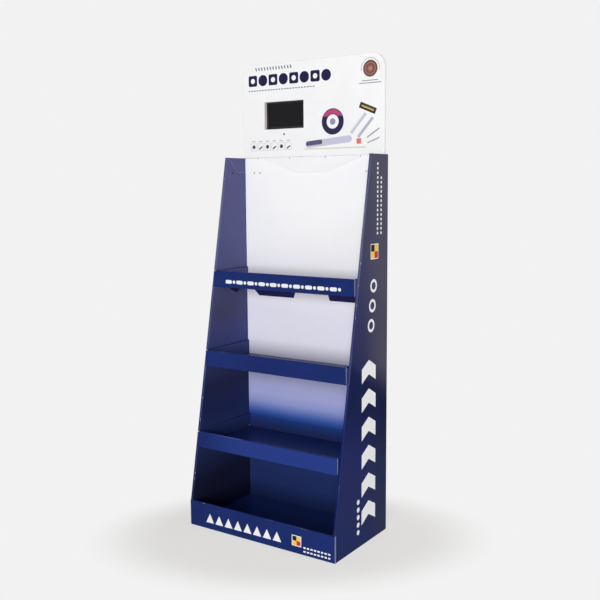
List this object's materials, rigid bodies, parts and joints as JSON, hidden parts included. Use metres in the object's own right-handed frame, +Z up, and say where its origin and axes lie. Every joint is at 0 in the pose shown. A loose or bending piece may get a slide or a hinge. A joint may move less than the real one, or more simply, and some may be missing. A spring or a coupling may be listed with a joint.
{
  "type": "cardboard display stand",
  "caption": "Floor-standing cardboard display with slanted double-walled sides, lipped shelf trays, a base tray and a header card holding a small video screen.",
  "frame": {"origin": "bottom centre of the bounding box, on the floor", "axes": "+Z up; -Y towards the shopper; +X to the shopper's right when facing the stand"},
  "size_m": [0.6, 0.357, 1.622],
  "materials": {
    "wrap_card": "printed card, satin varnish, raw card at the cut edges",
    "liner_card": "printed card, fading from navy at the foot to white",
    "tray_card": "printed card, satin varnish",
    "base_card": "printed card, satin varnish",
    "header_card": "white printed card",
    "lining_card": "plain brown card",
    "sensor_plastic": "frosted bevelled lens",
    "housing_plastic": "fine moulded grain",
    "screen": "dark glossy display, switched off",
    "circuit_board": "solder resist",
    "battery_wrap": "foil pouch",
    "speaker_frame": "moulded frame and paper cone"
  },
  "bodies": {
    "root": {"body_wrap": "wrap_card", "back_liner": "liner_card", "lower_shelf_tray": "tray_card", "middle_shelf_tray": "tray_card", "top_shelf_tray": "tray_card", "base_tray": "base_card", "header_card": "header_card", "window_lining": "lining_card", "motion_sensor": "sensor_plastic", "video_housing": "housing_plastic", "lcd_panel": "screen", "controller_board": "circuit_board", "battery_pack": "battery_wrap", "speaker": "speaker_frame", "video_back_cover": "housing_plastic"}
  },
  "joints": []
}
